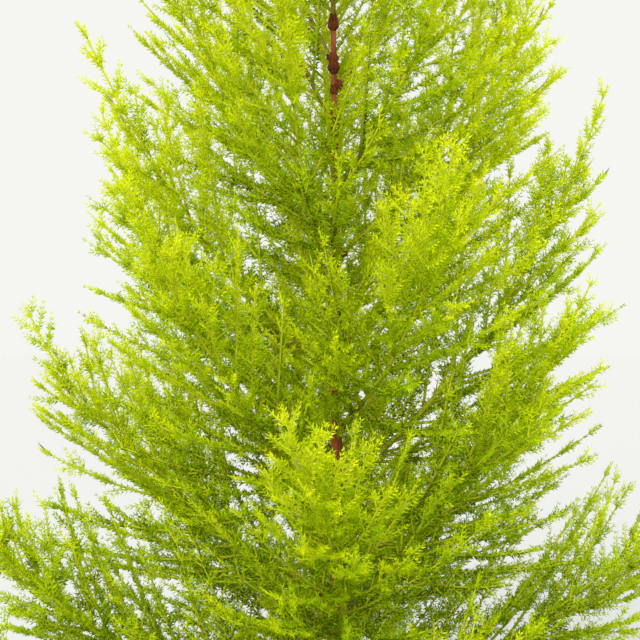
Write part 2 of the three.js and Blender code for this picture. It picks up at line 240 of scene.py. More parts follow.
stems = np.arange(BOUGHS + 1)
leader_line = trunk_centre(np.linspace(TRUNK_TOP, TREE_HEIGHT, LINE_STEPS + 1))
stem_line = np.concatenate([bough_line, leader_line[None]])
stem_length = np.append(bough_length, TREE_HEIGHT - TRUNK_TOP)
bough_radius = BOUGH_RADIUS * lerp(1, TOP_BOUGH, np.arange(BOUGHS) / BOUGHS)
bough_radius = np.minimum(bough_radius, THICKEST * trunk_radius(bough_line[:, 0, 2]))
stem_radius = np.append(bough_radius, LEADER_RADIUS)
bare_share = np.append(np.minimum(BARE_SHARE, BARE_LENGTH / bough_length), 0)
bare_share[BARE_BOUGHS:] = 0


def on_stem(stem, share):
    """Place and direction at a share of each stem's line, between its walked points."""
    x = np.broadcast_to(share, stem.shape) * LINE_STEPS
    k = np.clip(np.floor(x).astype(int), 0, LINE_STEPS - 1)
    before, after = stem_line[stem, k], stem_line[stem, k + 1]
    return lerp(before, after, (x - k)[:, None]), unit(after - before)


print(len(stem_line), "stems, the thickest of", stem_radius.max(), "mm in radius")

# %% [markdown]
# ## Own space
#
# Two plumes that grew through each other would be a tangle. So each keeps to the space that
# is nearer its own stem than any other stem, and only the ends of its twigs may mingle with
# the next plume's. Twigs could be cut at that border, but a cut twig has no tip. Here each is
# tested before it is kept. A slot in front of the trunk stays open and shows bark and knots.

# %% The room that a twig has
POST_STEPS = 12
TRUNK_CLEARANCE = 1.5
STRAY = 1.1  # of the outline's radius
SLOT_HALF = 7
SLOT_FOOT = 474
SLOT_TOP = 548
TOP_CLEARANCE = 1
OVERLAP_OUT = 0.25  # of the overlap is also allowed past the outline
stem_posts = stem_line[:, np.linspace(0, LINE_STEPS, POST_STEPS + 1).astype(int)]


def distance_to_stem(points, posts):
    """Distance from points to the nearest place on a line of posts."""
    a, b = posts[:-1], posts[1:]
    step = b - a
    from_a = points[:, None] - a[None]
    along = np.clip((from_a * step).sum(2) / (step * step).sum(1), 0, 1)
    return np.sqrt(((from_a - along[..., None] * step) ** 2).sum(2).min(1))


def from_trunk(points):
    """How far each point is from the trunk's centre at the same height."""
    return np.linalg.norm((points - trunk_centre(points[:, 2]))[:, :2], axis=1)


def has_room(points, stem, overlap):
    """True where a point is in its own stem's space, or at most overlap beyond it, inside the
    outline, clear of the trunk and out of the slot in front of it."""
    z = points[:, 2]
    out = from_trunk(points)
    room = (out > trunk_radius(z) + TRUNK_CLEARANCE) | (z > TRUNK_TOP)
    beside = np.abs(points[:, 0] - trunk_centre(z)[:, 0]) < SLOT_HALF
    room &= ~(beside & (points[:, 1] < 0) & (z > SLOT_FOOT) & (z < SLOT_TOP))
    room &= out < crown_radius(z) * STRAY + overlap * OVERLAP_OUT
    room &= z < TREE_HEIGHT - TOP_CLEARANCE
    far = np.stack([distance_to_stem(points, posts) for posts in stem_posts])
    own = far[stem, np.arange(len(points))]
    far[stem, np.arange(len(points))] = np.inf
    return room & (far.min(0) > own - overlap)


print("the slot in front of the trunk is", SLOT_TOP - SLOT_FOOT, "mm high")

# %% [markdown]
# ## Twigs
#
# The foliage of a cypress is made of sprays: twigs to both sides of an axis, nearly in one
# plane, like a feather. A curve object for each twig would make tens of thousands of objects,
# and a hair system would hide where they go. So a twig is kept as numbers until the very end,
# and its line is start + length (t direction + tt/2 bend). A younger twig leans off an older
# one by an angle, so one function grows every order of twig.

# %% A crowd of twigs
PARTS = ("start", "direction", "bend", "length", "stem", "vigour", "flat")


class Twigs:
    """Many twigs, as arrays with one row a twig. stem is the number of the stem that they
    belong to, and vigour is how well fed and how sunny a twig is, from 0 to 1."""

    def __init__(self, *parts):
        for name, part in zip(PARTS, parts, strict=True):
            setattr(self, name, part)

    def __len__(self):
        return len(self.length)

    def at(self, which, t):
        """Place and direction at t from 0 to 1 along each of the twigs which."""
        t = np.broadcast_to(t, which.shape)[:, None]
        direction, bend = self.direction[which], self.bend[which]
        place = self.start[which] + self.length[which, None] * (t * direction + t * t / 2 * bend)
        return place, unit(direction + t * bend)

    def at_share(self, share):
        """The place at one share of every twig's line."""
        return self.at(np.arange(len(self)), share)[0]

    def keep(self, rows):
        """The twigs of these rows alone."""
        return Twigs(*[getattr(self, name)[rows] for name in PARTS])

    def tell(self, name):
        """Prints how many twigs there are and their length together."""
        print(len(self), f"{name},", round(self.length.sum() * MM), "m in all")


def joined(some, others):
    """Two crowds as one."""
    return Twigs(*[np.concatenate([getattr(some, n), getattr(others, n)]) for n in PARTS])


print("a twig is kept as its", ", ".join(PARTS))

# %% Directions about a twig
TILT = np.array([1e-3, 2e-3, 0])  # gives even an upright line a side


def level_across(tangent):
    """A level direction square to each tangent."""
    return unit(np.cross(tangent, UP + TILT))


def upright(tangent):
    """The direction faced by a spray that spreads level to both sides of each tangent."""
    return np.cross(tangent, level_across(tangent))


def spread(tangent, flat, turn):
    """A direction square to each tangent: in the spray's plane, turned out of it by turn."""
    side = unit(np.cross(flat, tangent))
    return side * np.cos(turn)[:, None] + np.cross(tangent, side) * np.sin(turn)[:, None]


def sprout(place, tangent, flat, turn, angle, length, lift, stem, vigour):
    """Twigs that lean off tangent by angle, and bend back to it by lift[0] and up by lift[1]."""
    side = spread(tangent, flat, turn)
    direction = tangent * np.cos(angle)[:, None] + side * np.sin(angle)[:, None]
    bend = lift[0] * tangent + lift[1] * UP + 0 * direction
    return Twigs(place, direction, bend, length, stem, vigour, np.cross(tangent, side))


print("a level stem's spray faces", upright(np.array([[1.0, 0.0, 0.0]])).round(2).tolist())

# %% Twigs that fit
MIDWAY = 0.55
TURN_STEP = np.radians(100)


def fitted(turns, shrinks, overlap, place, tangent, flat, turn, angle, length, lift, stem, vigour):
    """The best of several tries to sprout each twig: a number of turns is tried with each of
    the shrinks, and the longest whose tip and middle have room wins."""
    placed = np.zeros(len(stem), bool)
    kept = None
    for shrink in shrinks:
        for turn_number in range(turns):
            turned = turn + turn_number * TURN_STEP
            tried = sprout(place, tangent, flat, turned, angle, length * shrink, lift, stem, vigour)
            kept = kept or tried
            rows = np.flatnonzero(~placed)
            own = stem[rows]
            tip, half = tried.at(rows, 1)[0], tried.at(rows, MIDWAY)[0]
            won = rows[has_room(tip, own, overlap) & has_room(half, own, overlap)]
            placed[won] = True
            for name in PARTS:
                getattr(kept, name)[won] = getattr(tried, name)[won]
    print(placed.sum(), "of", len(stem), "found room")
    return kept.keep(placed)


# %% Places on older twigs
SQUARE_PAIRS = 0.2  # of the pairs stand square to the spray
SPRAY_TURN = 0.5  # radians that a whole spray turns by, at most
PAIR_TURN = 0.3  # and one pair of it


def dealt(parents, spacing, first, last):
    """Places for younger twigs: each parent's number, the place's number on it and its t."""
    count = np.maximum(1, np.round(parents.length * (last - first) / spacing)).astype(int)
    parent = np.repeat(np.arange(len(parents)), count)
    number = np.arange(len(parent)) - np.repeat(np.cumsum(count) - count, count)
    t = first + (last - first) * (number + chance(parent, number, 11)) / count[parent]
    return parent, number, t


def paired(parents, spacing, first, last):
    """Places for pairs of younger twigs that stand on opposite sides, and each one's turn.
    Most pairs lie in one plane, which twists a little, as in a feather."""
    parent, pair, t = dealt(parents, 2 * spacing, first, last)
    square = chance(parent, pair, 37) < SQUARE_PAIRS
    turn = SPRAY_TURN * sway(parent, 13) + PAIR_TURN * sway(parent, pair, 36)
    turn = turn + square * np.pi / 2
    two = np.arange(2 * len(parent)) % 2
    parent, pair, t, turn = [np.repeat(part, 2) for part in (parent, pair, t, turn)]
    return parent, 2 * pair + two, t, turn + np.pi * two


print("one pair in", round(1 / SQUARE_PAIRS), "stands square to its spray")

# %% [markdown]
# ## Branches, sprigs and leading shoots
#
# A bough is clothed in side branches all round, long near its root and short near its tip.
# Plain chance would leave holes, so each tries five turns and many lengths, and keeps the
# longest that has room. Short sprigs grow from the trunk itself, and a leading shoot carries
# on from every bough's tip and gives the crown its spires.

# %% Side branches on every stem
BRANCH_SPACING = (4.2, 11)  # on the lowest stem and on the leader
BRANCHES_FROM_TO = (0.02, 0.98)
PLACE_CHANCE = 0.5  # of the spacing
ROOTWARD = 1.2  # above 1 the branches crowd towards the bough's root
BRANCH_LENGTH = 150
BRANCH_VARIES = (0.88, 0.12)
TOP_PLUME = 0.6
TOP_BRANCH = 0.12
BRANCH_FALL = 1.5
LEADER_BRANCH = 36
BRANCH_ANGLE = 42
ANGLE_FALL = 14
ANGLE_SWAY = 7
BRANCH_LIFT = (0.1, 0.42)
BRANCH_TURNS = 5
BRANCH_OVERLAP = 24
SHRINKS = np.arange(1, 0.12, -0.08)

spacing = lerp(*BRANCH_SPACING, stems / BOUGHS)
count = np.round(stem_length * (1 - bare_share) / spacing).astype(int)
stem = np.repeat(stems, count)
number = np.concatenate([np.arange(c) for c in count])
share = ((number + PLACE_CHANCE * chance(stem, number, 7)) / count[stem]) ** ROOTWARD
share = lerp(*BRANCHES_FROM_TO, share)
place, tangent = on_stem(stem, lerp(bare_share[stem], 1, share))
longest = BRANCH_LENGTH * lerp(1, TOP_PLUME, stem / BOUGHS)
longest = np.where(stem == LEADER, LEADER_BRANCH, longest)
length = longest * lerp(1, TOP_BRANCH, share**BRANCH_FALL)
length = length * varied(BRANCH_VARIES, stem, number, 10)
turn = np.radians(number * GOLDEN_ANGLE + 360 * chance(stem, 8))
angle = np.radians(BRANCH_ANGLE - ANGLE_FALL * share + ANGLE_SWAY * sway(stem, number, 9))
sprouts = (place, tangent, upright(tangent), turn, angle, length, BRANCH_LIFT, stem, share)
branches = fitted(BRANCH_TURNS, SHRINKS, BRANCH_OVERLAP, *sprouts)
branches.flat = upright(branches.direction)  # their sprays lie level
branches.tell("side branches")

# %% Sprigs on the trunk
SPRIG_SPACING = 2.5
SPRIGS_FROM = FIRST_BOUGH - 12
SPRIG_LENGTH = 100
TOP_SPRIG = 0.45
SPRIG_VARIES = (0.75, 0.25)
SPRIG_ANGLE = (52, 10)
SPRIG_TURN_SWAY = 20
SPRIG_LIFT = 0.3
SPRIG_VIGOUR = 0.7
SPRIG_ROOT = 0.7  # of the trunk's radius
SPRIG_AHEAD = 20  # a sprig belongs to the stem that is nearest this far along it
SLOT_BELOW = 10  # sprigs that start this far under the slot would grow into it
SLOT_ABOVE = 3
FRONT = 0.4  # sprigs that point so far forwards face the slot

number = np.arange(int((LAST_BOUGH - FIRST_BOUGH) / SPRIG_SPACING))
height = SPRIGS_FROM + number * SPRIG_SPACING
share = number / len(number)
turn = np.radians(number * GOLDEN_ANGLE + SPRIG_TURN_SWAY * sway(number, 31))
out = outward(turn)
angle = np.radians(varied(SPRIG_ANGLE, number, 32))[:, None]
direction = out * np.sin(angle) + UP * np.cos(angle)
length = SPRIG_LENGTH * lerp(1, TOP_SPRIG, share) * varied(SPRIG_VARIES, number, 33)
start = trunk_centre(height) + out * trunk_radius(height)[:, None] * SPRIG_ROOT
ahead = start + direction * SPRIG_AHEAD
stem = np.argmin([distance_to_stem(ahead, posts) for posts in stem_posts], axis=0)
bend = SPRIG_LIFT * UP + 0 * direction
vigour = SPRIG_VIGOUR + 0 * share
sprigs = Twigs(start, direction, bend, length, stem, vigour, upright(direction))
in_slot = (height >= SLOT_FOOT - SLOT_BELOW) & (height <= SLOT_TOP - SLOT_ABOVE)
sprigs = sprigs.keep(~(in_slot & (out[:, 1] <= -FRONT)))
sprigs.tell("sprigs on the trunk")

# %% Leading shoots at the tips of the stems
LEADING_LENGTH = 62
TOP_LEADING = 0.5
LEADING_VARIES = (0.75, 0.25)
LEADING_ANGLE = 6
FULL_TURN = 6.3
LEADING_LIFT = (0, 0.35)
LEADING_OVERLAP = 56

place, tangent = on_stem(stems, 1)
turn = FULL_TURN * chance(stems, 38)
angle = np.radians(LEADING_ANGLE * chance(stems, 39))
length = LEADING_LENGTH * lerp(1, TOP_LEADING, stems / BOUGHS) * varied(LEADING_VARIES, stems, 40)
vigour = np.ones(len(stems))
sprouts = (place, tangent, upright(tangent), turn, angle, length, LEADING_LIFT, stems, vigour)
leading = fitted(1, SHRINKS, LEADING_OVERLAP, *sprouts)
leading.tell("leading shoots")

# %% Everything that carries twigs
END_FROM = 0.17  # of a bough's line: beyond it twigs stand on the bough itself
END_VIGOUR = 0.6

start, direction = on_stem(stems, END_FROM)
bend = on_stem(stems, 1)[1] - direction
length = stem_length * (1 - END_FROM)
vigour = END_VIGOUR + 0 * length
ends = Twigs(start, direction, bend, length, stems, vigour, upright(direction))
branches = joined(joined(branches, sprigs), leading)
axes = joined(branches, ends)
axes.tell("axes")

# %% [markdown]
# ## Twigs and twiglets
#
# Twigs stand in pairs along every branch, and twiglets on the lower half of every long twig.
# Where twigs crowd, the inner ones get no light and die off. Without that there would be more
# needles than a computer can hold. So the crowd is thinned in cubes of space: each twig stays
# by the chance that leaves the same length of twig in every litre, and less deep inside and
# in the young airy top.

# %% Depth and thinning
TWIG_MIDDLE = 0.6
LIT_LAYER = 36  # as far inside the outline twigs are still dense
DARKENING = 50
CUBE = 26
CUBES = 1000  # more than there are along an axis
HALF_CUBES = 50
LITRE = 1000  # turns mm of twig in a cubic mm into metres in a litre


def depth(crowd):
    """How deep inside the crown each twig's middle is: 0 near the outline, 1 far inside."""
    middle = crowd.at_share(TWIG_MIDDLE)
    inside = crown_radius(middle[:, 2]) - from_trunk(middle)
    return np.clip((inside - LIT_LAYER) / DARKENING, 0, 1)


def thinned(crowd, per_litre):
    """The crowd without the twigs that others shade out: lengths are added up in each cube of
    space, and a twig stays by the chance that brings the sum to per_litre metres a litre."""
    cell = np.floor(crowd.at_share(TWIG_MIDDLE) / CUBE + HALF_CUBES).astype(int)
    cube = np.unique(cell @ [1, CUBES, CUBES**2], return_inverse=True)[1]
    filled = np.bincount(cube, crowd.length)[cube] / CUBE**3 * LITRE
    return crowd.keep(chance(np.arange(len(crowd)), 34) < per_litre / filled)


print("mean depth of the axes:", np.round(depth(axes).mean(), 2))

# %% Twigs on every branch
TWIG_SPACING = 4.1
TWIGS_FROM_TO = (0.05, 0.94)
TWIG_LENGTH = 22
TWIG_OF_AXIS = 0.5  # of its axis's length, and the least twig more
LEAST_TWIG = 4
END_TWIG = 0.4  # of the first twig's length
TWIG_FALL = 1.6
TWIG_VARIES = (0.8, 0.25)
TWIG_ANGLE = 42
TWIG_ANGLE_FALL = 6
TWIG_ANGLE_SWAY = 5
TWIG_LIFT = (0.12, 0.28)
TWIG_TURNS = 2
TWIG_SHRINKS = (1, 0.75, 0.5)
TWIG_OVERLAP = 56
VIGOUR_OF = (0.45, 0.25, 0.3)  # its place on the axis, the axis's own vigour, and chance

parent, number, t, turn = paired(axes, TWIG_SPACING, *TWIGS_FROM_TO)
place, tangent = axes.at(parent, t)
length = np.minimum(TWIG_LENGTH, TWIG_OF_AXIS * axes.length[parent] + LEAST_TWIG)
length = length * lerp(1, END_TWIG, t**TWIG_FALL) * varied(TWIG_VARIES, parent, number, 12)
angle = TWIG_ANGLE - TWIG_ANGLE_FALL * t + TWIG_ANGLE_SWAY * sway(parent, number, 14)
angle = np.radians(angle)
vigour = VIGOUR_OF[0] * t + VIGOUR_OF[1] * axes.vigour[parent] + VIGOUR_OF[2] * chance(parent, 41)
stem, flat = axes.stem[parent], axes.flat[parent]
sprouts = (place, tangent, flat, turn, angle, length, TWIG_LIFT, stem, vigour)
twigs = fitted(TWIG_TURNS, TWIG_SHRINKS, TWIG_OVERLAP, *sprouts)
twigs.tell("twigs")

# %% The twigs that get light
OUTER_DENSITY = 10  # metres of twig in a litre
INNER_DENSITY = 7
AIRY_FROM = 440  # from here up the crown gets more open
AIRY_RISE = 80
AIRY_SHARE = 0.6

airy = np.clip((twigs.start[:, 2] - AIRY_FROM) / AIRY_RISE, 0, 1)
density = lerp(OUTER_DENSITY, INNER_DENSITY, depth(twigs)) * lerp(1, AIRY_SHARE, airy)
twigs = thinned(twigs, density)
twigs.tell("twigs stay")

# %% Twiglets on every long twig
TWIGLET_SPACING = 4
TWIGLETS_FROM_TO = (0.14, 0.6)
TWIGLET_LENGTH = 6
TWIGLET_OF_TWIG = 0.5
END_TWIGLET = 0.5
LONG_TWIG = 10
TWIGLET_ANGLE = (42, 7)
TWIGLET_LIFT = (0.3, 0.1)
TWIGLET_OVERLAP = 34

long_twigs = twigs.keep(twigs.length > LONG_TWIG)
parent, number, t, turn = paired(long_twigs, TWIGLET_SPACING, *TWIGLETS_FROM_TO)
place, tangent = long_twigs.at(parent, t)
length = np.minimum(TWIGLET_LENGTH, TWIGLET_OF_TWIG * long_twigs.length[parent])
length = length * lerp(1, END_TWIGLET, t) * varied(TWIG_VARIES, parent, number, 15)
angle = np.radians(varied(TWIGLET_ANGLE, parent, number, 17))
stem, flat, vigour = long_twigs.stem[parent], long_twigs.flat[parent], long_twigs.vigour[parent]
twiglets = sprout(place, tangent, flat, turn, angle, length, TWIGLET_LIFT, stem, vigour)
twiglets = twiglets.keep(has_room(twiglets.at_share(1), stem, TWIGLET_OVERLAP))
twiglets.tell("twiglets")

# %% [markdown]
# ## Meshes from arrays
#
# A hundred thousand faces made one by one would take minutes, so a mesh is filled from its
# arrays in one go. Twigs and limbs are tubes: rings of corners carried along their lines, a
# corner for the tip, and a face over the root. All rings have the same order of corners.

# %% A piece of the tree
def in_scene(name, data):
    """An object that is linked to the scene."""
    linked = bpy.data.objects.new(name, data)
    bpy.context.scene.collection.objects.link(linked)
    return linked


def add_piece(name, points, triangles, material, slot, replaced=(), smooth=False):
    """A piece of the tree from its corners in millimetres and its triangles."""
    mesh = bpy.data.meshes.new(name)
    mesh.vertices.add(len(points))
    mesh.vertices.foreach_set("co", (points * MM).ravel())
    mesh.loops.add(triangles.size)
    mesh.loops.foreach_set("vertex_index", triangles.astype(np.int32).ravel())
    mesh.polygons.add(len(triangles))
    mesh.polygons.foreach_set("loop_start", np.arange(0, triangles.size, 3, dtype=np.int32))
    mesh.polygons.foreach_set("use_smooth", np.full(len(triangles), smooth))
    mesh.update(calc_edges=True)
    mesh.materials.append(material)
    piece = in_scene(name, mesh)
    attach(piece, "root")
    if replaced:
        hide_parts(*replaced)
    print(name, len(triangles), "triangles")


def stacked(some, others):
    """Two sets of points and triangles as one."""
    return np.concatenate([some[0], others[0]]), np.concatenate([some[1], others[1] + len(some[0])])


# %% A crowd of tubes
def tube_faces(rings, sides):
    """The faces of one tube: bands between its rings, a cone to the tip, and a fan at the root."""
    here = np.arange(sides)
    there = (here + 1) % sides
    faces = []
    for ring in range(rings - 1):
        low, high = ring * sides, (ring + 1) * sides
        faces.append(np.stack([low + here, low + there, high + there], axis=1))
        faces.append(np.stack([low + here, high + there, high + here], axis=1))
    top = (rings - 1) * sides
    faces.append(np.stack([top + here, top + there, np.full(sides, rings * sides)], axis=1))
    fan = np.arange(1, sides - 1)
    faces.append(np.stack([0 * fan, fan + 1, fan], axis=1))
    return np.concatenate(faces)


def tubes(lines, radii, sides):
    """Tubes round lines (tubes, rings + 1, 3) with radii (tubes, rings): the corners of a ring
    stand round the line's own direction, and the last point of the line is the tip."""
    count, rings = radii.shape
    body = lines[:, :rings]
    along = unit(lines[:, 1 : rings + 1] - body)
    level = level_across(along)
    over = np.cross(along, level)
    around = np.arange(sides) * 2 * np.pi / sides
    way = level[:, :, None] * np.cos(around)[:, None] + over[:, :, None] * np.sin(around)[:, None]
    corners = body[:, :, None] + way * radii[:, :, None, None]
    points = np.concatenate([corners.reshape(count, -1, 3), lines[:, rings : rings + 1]], axis=1)
    first = np.arange(count)[:, None, None] * (rings * sides + 1)
    return points.reshape(-1, 3), (tube_faces(rings, sides)[None] + first).reshape(-1, 3)


def twig_tubes(crowd, root_radius, tip_radius, rings, sides):
    """Tubes along a crowd of twigs, with a radius that falls evenly and a pointed tip."""
    t = np.linspace(0, 1, rings + 1)
    which = np.repeat(np.arange(len(crowd)), rings + 1)
    lines = crowd.at(which, np.tile(t, len(crowd)))[0].reshape(len(crowd), rings + 1, 3)
    radii = lerp(root_radius[:, None], tip_radius, t[None, :rings])
    return tubes(lines, radii, sides)


print("a twig's tube of two rings has", len(tube_faces(2, 3)), "triangles")

# %% [markdown]
# ## Finishes
#
# Bark is rough and red-brown, with paler and darker streaks that run along the wood. It could
# be a picture wrapped round the trunk, but a picture has a seam and only one size, so noise
# is drawn out along the wood instead. Young stems are smooth and turn from tan to lime. A
# needle lets light through from behind: that is why a cypress before a bright wall glows.

# %% Plain colours
DULL = 0.06  # how much a waxy needle or a dry stem mirrors


def srgb(*levels):
    """Linear colour from the 0 to 255 levels that a screen shows."""
    level = np.array(levels) / 255
    linear = np.where(level < 0.04045, level / 12.92, ((level + 0.055) / 1.055) ** 2.4)
    return tuple(linear) + (1.0,)


def new_finish(name):
    """A material with its nodes, its links and its surface."""
    material = bpy.data.materials.new(name)
    material.use_nodes = True
    nodes = material.node_tree.nodes
    return material, nodes, material.node_tree.links, nodes["Principled BSDF"]


def set_inputs(node, values):
    """Sets a node's inputs by their names."""
    for name, value in values.items():
        node.inputs[name].default_value = value


def plain_finish(name, color, roughness, through=0.0):
    """A finish of one colour. through is the share of its light that comes from behind."""
    material, nodes, links, surface = new_finish(name)
    set_inputs(surface, {"Base Color": color, "Roughness": roughness, "Specular IOR Level": DULL})
    if through:
        glow = nodes.new("ShaderNodeBsdfTranslucent")
        set_inputs(glow, {"Color": color})
        mix = nodes.new("ShaderNodeMixShader")
        set_inputs(mix, {"Fac": through})
        links.new(surface.outputs["BSDF"], mix.inputs[1])
        links.new(glow.outputs["BSDF"], mix.inputs[2])
        links.new(mix.outputs["Shader"], nodes["Material Output"].inputs["Surface"])
    return material


lime_stem = plain_finish("lime_stem", srgb(218, 222, 50), roughness=0.55, through=0.3)
lime_twig = plain_finish("lime_twig", srgb(216, 226, 40), roughness=0.55, through=0.35)
dry_tip = plain_finish("dry_tip", srgb(136, 126, 140), roughness=0.8)
print("a lime stem in linear light:", np.round(srgb(218, 222, 50)[:3], 2).tolist())

# %% Bark
DRAWN_OUT = 0.14  # how much slower the noise runs along the wood than across it
STREAK_DETAIL = {"Detail": 6, "Roughness": 0.65}
COLOUR_PLACES = (0.3, 0.5, 0.72)  # of the dark, the middle and the pale colour
BARK_BUMP = {"Strength": 0.6, "Distance": 0.4 * MM}


def bark_finish(name, dark, middle, pale, grain, roughness):
    """Streaked bark: noise drawn out along the wood, with grain streaks in a metre, runs
    through three colours and raises the surface."""
    material, nodes, links, surface = new_finish(name)
    place = nodes.new("ShaderNodeTexCoord")
    drawn = nodes.new("ShaderNodeMapping")
    streaks = nodes.new("ShaderNodeTexNoise")
    bump = nodes.new("ShaderNodeBump")
    set_inputs(drawn, {"Scale": (1, 1, DRAWN_OUT)})
    set_inputs(streaks, {"Scale": grain, **STREAK_DETAIL})
    set_inputs(bump, BARK_BUMP)
    colours = nodes.new("ShaderNodeValToRGB")
    first, last = colours.color_ramp.elements
    first.position, last.position = COLOUR_PLACES[0], COLOUR_PLACES[2]
    first.color, last.color = dark, pale
    colours.color_ramp.elements.new(COLOUR_PLACES[1]).color = middle
    links.new(place.outputs["Object"], drawn.inputs["Vector"])
    links.new(drawn.outputs["Vector"], streaks.inputs["Vector"])
    links.new(streaks.outputs["Fac"], colours.inputs["Fac"])
    links.new(colours.outputs["Color"], surface.inputs["Base Color"])
    links.new(streaks.outputs["Fac"], bump.inputs["Height"])
    links.new(bump.outputs["Normal"], surface.inputs["Normal"])
    set_inputs(surface, {"Roughness": roughness})
    return material


red_brown = srgb(76, 30, 12), srgb(152, 72, 38), srgb(190, 114, 72)
tan = srgb(96, 76, 28), srgb(138, 124, 40), srgb(168, 162, 52)
dark_brown = srgb(58, 16, 0), srgb(106, 40, 4), srgb(142, 68, 20)
bark = bark_finish("red_brown_bark", *red_brown, grain=420, roughness=0.85)
young_bark = bark_finish("tan_bark", *tan, grain=700, roughness=0.7)
knot_bark = bark_finish("knot_bark", *dark_brown, grain=900, roughness=0.9)
print("barks:", bark.name, young_bark.name, knot_bark.name)

# %% [markdown]
# ## Trunk
#
# The bark of a cypress is stringy: it parts into flat strips that run up the trunk and twist
# a little. To sculpt them by hand would take long on a trunk this tall. Here they are a
# relief of ridges that drift round the trunk with height. At the ground the trunk flares into
# low buttresses, and it swells in a collar under each bough.

# %% The trunk's swellings
FLARE_RADIUS = 4
FLARE_HEIGHT = 16
FLARE_FALL = 2.2
FLARE_LOBES = 5
FLARE_HOLLOW = 0.28
COLLAR_DROP = 2  # the collar's middle is this far under the bough's
COLLAR_REACH = 2.2  # along the trunk, in radii of the bough
COLLAR_ARC = 0.7  # radians
COLLAR_SWELL = 0.5


def bark_relief(angle, z):
    """Ridges round the trunk: a wide and a narrow sine of the angle, made positive, which
    drift with height, and a ripple of cracks across them."""
    drift = 0.9 * np.sin(z / 31) + 0.6 * np.sin(z / 12.7 + 1) + z / 150
    wide = np.abs(np.sin(3.5 * angle + drift))
    narrow = np.abs(np.sin(7 * angle - 1.7 * drift + 2 * np.sin(z / 8.3)))
    cracks = np.sin(z / 3.1 + 4 * np.sin(2 * angle + z / 40))
    return 0.6 * wide + 0.3 * narrow + 0.1 * cracks - 0.5


def root_flare(angle, z):
    """Buttresses at the ground: a bell over height times lobes round the trunk."""
    lobe = 1 - FLARE_HOLLOW * (1 - np.cos(FLARE_LOBES * angle))
    return FLARE_RADIUS * np.exp(-((z / FLARE_HEIGHT) ** 2) * FLARE_FALL) * lobe


def collar_swell(angle, z):
    """Swelling under each bough: a bell over height times a bell over bearing, all added."""
    swell = np.zeros(z.shape)
    for height, bearing, radius in zip(bough_height, bough_bearing, stem_radius):
        apart = np.angle(np.exp(1j * (angle - bearing)))
        above = (z - height + COLLAR_DROP) / (COLLAR_REACH * radius)
        swell += COLLAR_SWELL * radius * np.exp(-(above**2) - (apart / COLLAR_ARC) ** 2)
    return swell


print("the root flare adds", root_flare(0, 0), "mm at the ground")

# %% The trunk's bark
TRUNK_SIDES = 36
TRUNK_RINGS = 260
LOW_RINGS = 1.15  # above 1 the rings stand closer near the ground
STRIP_DEPTH = 0.075  # of a bark strip, as a share of the trunk's radius


def trunk_surface():
    """Corners of the trunk, in rings round its centre: the radius is the taper, the flare, the
    collars and the bark's relief together."""
    heights = TRUNK_TOP * np.linspace(0, 1, TRUNK_RINGS) ** LOW_RINGS
    angles = np.arange(TRUNK_SIDES) * 2 * np.pi / TRUNK_SIDES
    z, angle = np.meshgrid(heights, angles, indexing="ij")
    radius = trunk_radius(z) + root_flare(angle, z) + collar_swell(angle, z)
    radius = radius * (1 + STRIP_DEPTH * bark_relief(angle, z))
    return trunk_centre(z) + outward(angle) * radius[..., None]


corners = trunk_surface()
points = np.concatenate([corners.reshape(-1, 3), [corners[0].mean(0), corners[-1].mean(0)]])
here = np.arange(TRUNK_SIDES)
there = (here + 1) % TRUNK_SIDES
low = (np.arange(TRUNK_RINGS - 1) * TRUNK_SIDES)[:, None]
high = low + TRUNK_SIDES
last = (TRUNK_RINGS - 1) * TRUNK_SIDES
middle_of_foot = TRUNK_RINGS * TRUNK_SIDES
faces = [
    np.stack([low + here, low + there, high + there], axis=2).reshape(-1, 3),
    np.stack([low + here, high + there, high + here], axis=2).reshape(-1, 3),
    np.stack([here, np.full(TRUNK_SIDES, middle_of_foot), there], axis=1),
    np.stack([last + here, last + there, np.full(TRUNK_SIDES, middle_of_foot + 1)], axis=1),
]
add_piece("trunk_bark", points, np.concatenate(faces), bark, "bark", ["trunk"], smooth=True)

# %% [markdown]
# ## Boughs, collars and knots
#
# A bough starts with thin tan bark, and its young end is as green as the needles. One tube
# with a colour ramp could show that, but the ramp would need the place along each bough. Two
# pieces that are stretches of the same lines need only plain finishes. Where a bough leaves
# the trunk, dark scarred bark gathers in a collar round the bough and a knot round the trunk.

# %% Tan and lime stretches of the boughs
ROOT_TAPER = 1.15
TIP_TAPER = 0.24
TAPER_POWER = 0.7
SWELLING = 0.1  # where side branches leave
TAN_TO = 0.2  # of the bough's line
LIME_FROM = 0.16
boughs = stems[:BOUGHS]


def stretch(first, last, rings, sides, chosen):
    """Tubes along a part of each chosen stem's line. The radius falls as a power of the share,
    from a little over the stem's own to a quarter of it."""
    share = np.linspace(first, last, rings + 1)
    which = np.repeat(chosen, rings + 1)
    lines = on_stem(which, np.tile(share, len(chosen)))[0].reshape(len(chosen), rings + 1, 3)
    swell = varied((1, SWELLING), chosen[:, None], np.arange(rings)[None], 18)
    taper = lerp(ROOT_TAPER, TIP_TAPER, share[None, :rings] ** TAPER_POWER)
    return tubes(lines, stem_radius[chosen, None] * taper * swell, sides)


bare_boughs = [f"bough_{i + 1:02d}" for i in range(BARE_BOUGHS)]
tan_part = stretch(0, TAN_TO, rings=18, sides=8, chosen=boughs)
lime_part = stretch(LIME_FROM, 1, rings=36, sides=6, chosen=stems)
add_piece("bough_bark", *tan_part, young_bark, "young_bark", bare_boughs, smooth=True)
add_piece("green_stems", *lime_part, lime_stem, "young_bark", smooth=True)

# %% Collars round the boughs' roots
COLLAR_RINGS = 8
COLLAR_LENGTH = 5  # radii of the bough
COLLAR_WALL = 1.2  # the collar's radius at its ends, in radii of the bough
COLLAR_BULGE = 1.1  # and what its middle has more
BULGE_POWER = 0.8  # under 1 the bulge's widest place is nearer the root
COLLAR_RAGGED = (1, 0.25)

